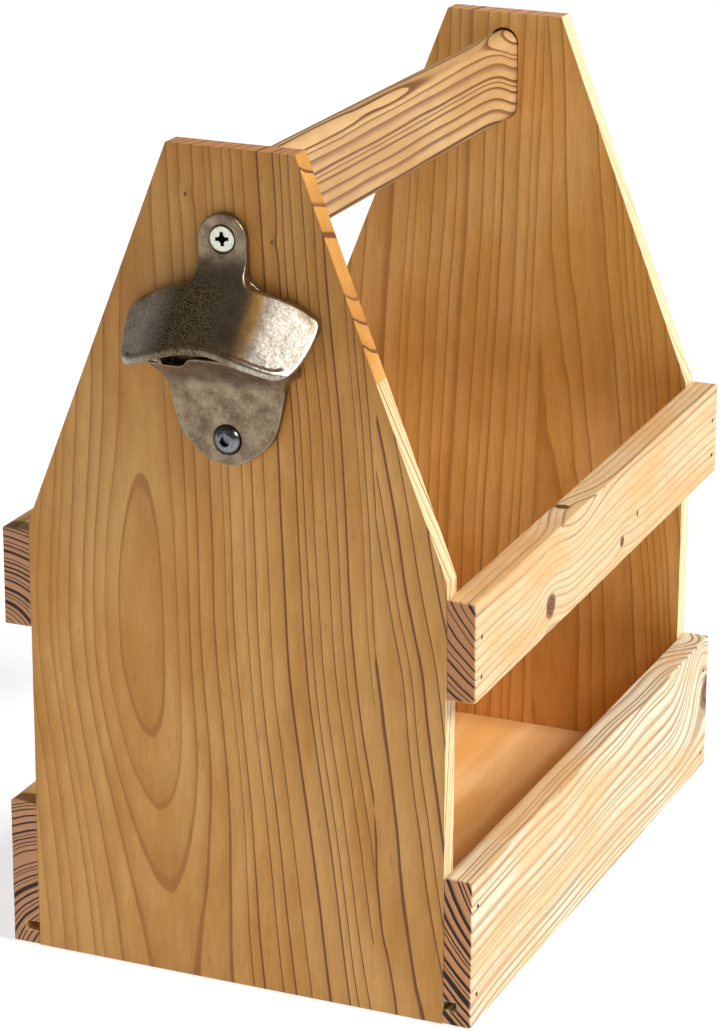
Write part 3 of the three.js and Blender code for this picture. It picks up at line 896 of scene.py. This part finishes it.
# ---- Screws ----
def screw_matrix(height):
    return opener_place() @ Matrix.Translation(Vector((0, height, 0)) * MM)


def finish_screw(made, node, height, turn):
    made.data.transform(screw_matrix(height) @ Matrix.Rotation(turn, 4, "Z"))
    return show(made, node)


def shank(node):
    """The way down of a screw's point behind the plate's back, from the size of its node."""
    low, high = box_mm(node)
    return high.y - front_low.y


def paint_recess_shade(made, material, reach, top, steepest):
    """Paints shade into a screw's recess: the dark material goes on the faces inside it that are at least so
    steep.
    """
    made.data.materials.append(material)
    for polygon in made.data.polygons:
        x, y, z = polygon.center / MM
        if math.hypot(x, y) < reach and 0.05 < top - z < 2.4:
            polygon.use_smooth = False
            polygon.material_index = int(polygon.normal.z < steepest)


def flat_screw(material, dark):
    """A countersunk screw with a cross recess."""
    tip = shank("opener_screw_top")
    top = PLATE["thick"] - 0.1
    profile = [
        (0, -tip),
        (SHANK, 2 - tip),
        (SHANK, top - 2.2),
        (HEAD - 0.05, top - 0.35),
        (HEAD, top - 0.12),
        (HEAD - 0.3, top),
        (0, top),
    ]
    made = new_object("opener_screw_top_steel", turned(profile, 48), [material])
    for polygon in made.data.polygons:
        polygon.use_smooth = polygon.normal.z < 0.9
    arms = []
    for turn in (0, math.pi / 2):
        bm = extruded([(-2.6, -0.68), (2.6, -0.68), (2.6, 0.68), (-2.6, 0.68)], top - 1.9, top + 0.6)
        for vert in bm.verts:
            if vert.co.z < (top - 1) * MM:
                vert.co.x *= 0.5
                vert.co.y *= 0.7
        arm = new_object("cutter", bm, [])
        arm.data.transform(Matrix.Rotation(turn, 4, "Z"))
        arms.append(arm)
    hollow = [(0, top - 2.2), (1.2, top - 0.7), (1.5, top + 0.6), (0, top + 0.6)]
    carve(made, [*arms, new_object("cutter", turned(hollow, 16), [])])
    # Painted shade: the recess faces get the near-black material.
    paint_recess_shade(made, dark, 2.7, top, 2.0)
    return finish_screw(made, "opener_screw_top", SCREWS["top"], math.radians(4))


def domed_screw(material, dark):
    """A button-head screw with a six-sided socket."""
    tip = shank("opener_screw_bottom")
    edge = PLATE["thick"] - 0.3
    radius, crown, flat, recess = DOME.values()
    turns = [math.radians(7.5 * i) for i in range(9)]
    dome = [(radius * math.cos(a), edge + crown * math.sin(a) / math.sin(turns[-1])) for a in turns]
    under = [(0, -tip), (SHANK, 2 - tip), (SHANK, edge - 1.6), (radius - 0.3, edge - 0.5)]
    profile = [*under, *dome, (flat - 0.2, edge + crown), (0, edge + crown)]
    made = new_object("opener_screw_bottom_steel", turned(profile, 48), [material])
    for polygon in made.data.polygons:
        polygon.use_smooth = True
    socket = [(0, edge + 0.2), (recess, edge + 0.4), (recess, edge + 4), (0, edge + 4)]
    carve(made, [new_object("cutter", turned(socket, 6), [])])
    # Painted shade: the socket's steep walls get the near-black material, and its floor stays bright.
    paint_recess_shade(made, dark, 2.05, edge + crown, 0.5)
    return finish_screw(made, "opener_screw_bottom", SCREWS["bottom"], math.radians(12))


# ---- Building ----
ALONG_Y = (0, 1, 0)
ALONG_Z = (0, 0, 1)
front_face = front_low.y
rear_face = rear_low.y

front_pine = pine(
    "front_pine",
    ALONG_Z,
    [
        {
            "pith": (-34, front_face + 9, 118),
            "lean": (-0.05, -0.05, 0),
            "bow": (10, 14.0, 0),
            "taper": 0.0011,
            "ring": 4.2,
        },
        {"pith": (26, front_face + 70, 135), "lean": (-0.18, 0, 0), "ring": 2.3, "from": 50},
    ],
    FRONT_TONES,
    line=0.085,
    wander=0.9,
    knots=[
        {"at": (-15.5, front_face, 271), "axis": ALONG_Y, "core": 0.55, "spread": 2.6, "rings": 0.3},
        {"at": (14.3, front_face, 258.4), "axis": ALONG_Y, "core": 0.45, "spread": 2.2, "rings": 0.25},
    ],
    seed=1.3,
    golden=5.0,
    # painted shade towards the top of the panel
    deep=(190.0, 275.0),
    contrast=1.8,
)
rear_pine = pine(
    "rear_pine",
    ALONG_Z,
    [
        {"pith": (-78, rear_face + 30, 140), "lean": (0.02, -0.03, 0), "ring": 4.4},
        {"pith": (14, rear_face + 60, 140), "lean": (-0.1, 0, 0), "ring": 2.3, "from": 16},
    ],
    REAR_TONES,
    line=0.13,
    wander=0.8,
    contrast=0.8,
    seed=5.1,
)
handle_pine = pine(
    "handle_pine",
    ALONG_Y,
    [{"pith": (-72, 0, 192), "lean": (0.0, 0, 0.01), "ring": 2.2}],
    HANDLE_TONES,
    line=0.3,
    wander=0.35,
    contrast=1.4,
    knots=[{"at": (5, 131, 264), "axis": (0, 0, 1), "spread": 19, "rings": 2.4, "drawn_out": 0.0}],
    seed=2.2,
)
board_pines = {
    "upper_slat_right": pine(
        "upper_right_pine",
        ALONG_Y,
        [{"pith": (122, 0, 174.5), "lean": (0, 0, 0.02), "ring": 2.5}],
        SLAT_TONES,
        line=0.2,
        wander=0.8,
        knots=[
            {"at": (84.5, -41.3, 124.8), "axis": (0.6, 0, 0.8), "core": 3.2, "spread": 8, "rings": 1.6},
            {"at": (78.3, -13.9, 150.5), "axis": (0.87, 0, 0.5), "core": 1.6, "spread": 11, "rings": -2.5},
            {"at": (84.5, 30.3, 124.4), "axis": (0.6, 0, 0.8), "core": 1.5, "spread": 5, "rings": 0.6},
            {"at": (84.5, 46.0, 129.8), "axis": (0.6, 0, 0.8), "core": 0.8, "spread": 3, "rings": 0.2},
        ],
        seed=3.1,
    ),
    "upper_slat_left": pine(
        "upper_left_pine",
        ALONG_Y,
        [{"pith": (-86, 0, 111), "lean": (0, 0, 0.01), "ring": 1.8}],
        LEFT_TONES,
        line=0.25,
        wander=0.8,
        seed=4.4,
    ),
    "lower_board_right": pine(
        "lower_right_pine",
        ALONG_Y,
        [{"pith": (145, 0, 83), "lean": (0, 0, 0.02), "ring": 2.35}],
        LIT_LOW_TONES,
        line=0.3,
        contrast=1.3,
        wander=1.5,
        knots=[
            {"at": (84.5, 127, 47), "axis": (0.76, 0, 0.65), "spread": 16, "rings": 6.0, "drawn_out": 0.2},
            {"at": (84.5, 138, 30), "axis": (0.76, 0, 0.65), "core": 7.5, "spread": 13, "rings": 2.5},
        ],
        seed=6.0,
    ),
    "lower_board_left": pine(
        "lower_left_pine",
        ALONG_Y,
        [{"pith": (-63, 0, -2), "lean": (0, 0, 0.02), "ring": 1.8}],
        LEFT_TONES,
        line=0.25,
        wander=0.8,
        seed=7.3,
    ),
}

for board in BOARDS:
    side_board(board, board_pines[board])

inner_front = front_high.y + 1
inner_rear = rear_low.y - 1
front_cuts = nail_cutters([n for b in BOARDS for n in nails_of(b, "front")])
front_cuts.append(mortise_cutter(inner_front, front_high.y - MORTISE["depth"]))
end_panel("front_panel", front_pine, front_cuts)
rear_cuts = nail_cutters([n for b in BOARDS for n in nails_of(b, "rear")])
rear_cuts.append(mortise_cutter(inner_rear, rear_low.y + MORTISE["depth"]))
end_panel("rear_panel", rear_pine, rear_cuts)
handle_bar(handle_pine)
deck_sheet(plywood("deck_ply"))

casting(antique_casting())
# A near-black steel that paints the shade inside the screw recesses.
recess_shade_black = plated_steel("recess_shade_black", colour("1c1a18"), 0.4, colour("0c0b0a"))
flat_screw(plated_steel("bright_zinc", colour("dddccb"), 0.24, colour("a7a596")), recess_shade_black)
domed_screw(plated_steel("dark_nickel", colour("85868a"), 0.17, colour("3a3a3c")), recess_shade_black)

nail_steel = plated_steel("nail_wire", colour("56504a"), 0.45, colour("332b25"))
for node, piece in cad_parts.items():
    if node.startswith("nail_"):
        piece.data.materials.clear()
        piece.data.materials.append(nail_steel)


# ---- Stage, light and camera ----
def stage_floor():
    """A white sweep that glows a little, so that the carrier's shadow on it stays faint."""
    bm = bmesh.new()
    half = 6.0
    corners = [(-half, -half), (half, -half), (half, half), (-half, half)]
    bm.faces.new([bm.verts.new((x, y, 0)) for x, y in corners])
    r = Recipe("pale_floor", {"Specular IOR Level": 0.1, "Emission Strength": 0.7})
    grain = r.noise(r.scaled(r.place_mm(), 0.02), 3.0)
    r.feed(r.shader.inputs["Emission Color"], r.mix(grain, colour("fdfeff"), colour("ffffff")))
    material = r.finish(r.mix(grain, colour("a9aaac"), colour("adaeb0")), 0.8 + grain * 0.1)
    floor = new_object("floor", bm, [material])
    floor.location.z = -0.0003


def soft_light(name, place, size, watts, tint=(1, 1, 1)):
    data = bpy.data.lights.new(name, "AREA")
    data.shape = "RECTANGLE"
    data.size, data.size_y = size
    data.energy = watts
    data.color = tint
    light = bpy.data.objects.new(name, data)
    light.location = place
    aim = Vector((0.0, 0.0, 0.13)) - light.location
    light.rotation_euler = aim.to_track_quat("-Z", "Y").to_euler()
    bpy.context.scene.collection.objects.link(light)


def studio():
    world = bpy.data.worlds.new("studio")
    world.use_nodes = True
    background = world.node_tree.nodes["Background"]
    background.inputs["Color"].default_value = (1.0, 1.0, 1.0, 1.0)
    background.inputs["Strength"].default_value = 0.13
    bpy.context.scene.world = world
    key = bpy.data.lights.new("key_right", "SUN")
    key.energy = 4.3
    key.angle = math.radians(24)
    key.color = (1.0, 0.985, 0.96)
    sun = bpy.data.objects.new("key_right", key)
    towards = Vector((0.735, -0.02, 0.66))
    sun.rotation_euler = towards.to_track_quat("Z", "Y").to_euler()
    bpy.context.scene.collection.objects.link(sun)
    soft_light("fill_front", (-0.9, -1.6, 0.6), (0.9, 1.3), 1.3)
    soft_light("rim_left", (-1.5, 0.25, 0.55), (0.9, 0.9), 1.1)


# The camera stands to the right of the front panel and looks down on it.
CAMERA_PLACE = Vector((473.83, -1002.57, 548.67))  # from the middle of the front panel's foot
CAMERA_TURN = 23.18
CAMERA_DROP = 19.026
CAMERA_ROLL = 0.204
LENS_TO_FRAME = 3647.33 / 1031


def place_camera():
    data = bpy.data.cameras.new("camera")
    data.sensor_width = 36.0
    data.lens = data.sensor_width * LENS_TO_FRAME
    data.clip_start = 0.05
    camera = bpy.data.objects.new("camera", data)
    foot = Vector((0.0, front_low.y, 0.0))
    turn = Matrix.Rotation(math.radians(CAMERA_TURN), 4, "Z")
    drop = Matrix.Rotation(math.radians(90 - CAMERA_DROP), 4, "X")
    roll = Matrix.Rotation(math.radians(CAMERA_ROLL), 4, "Z")
    camera.matrix_world = Matrix.Translation((foot + CAMERA_PLACE) * MM) @ turn @ drop @ roll
    bpy.context.scene.collection.objects.link(camera)
    bpy.context.scene.camera = camera


stage_floor()
studio()
place_camera()
bpy.context.scene.view_settings.view_transform = STANDARD_LOOK
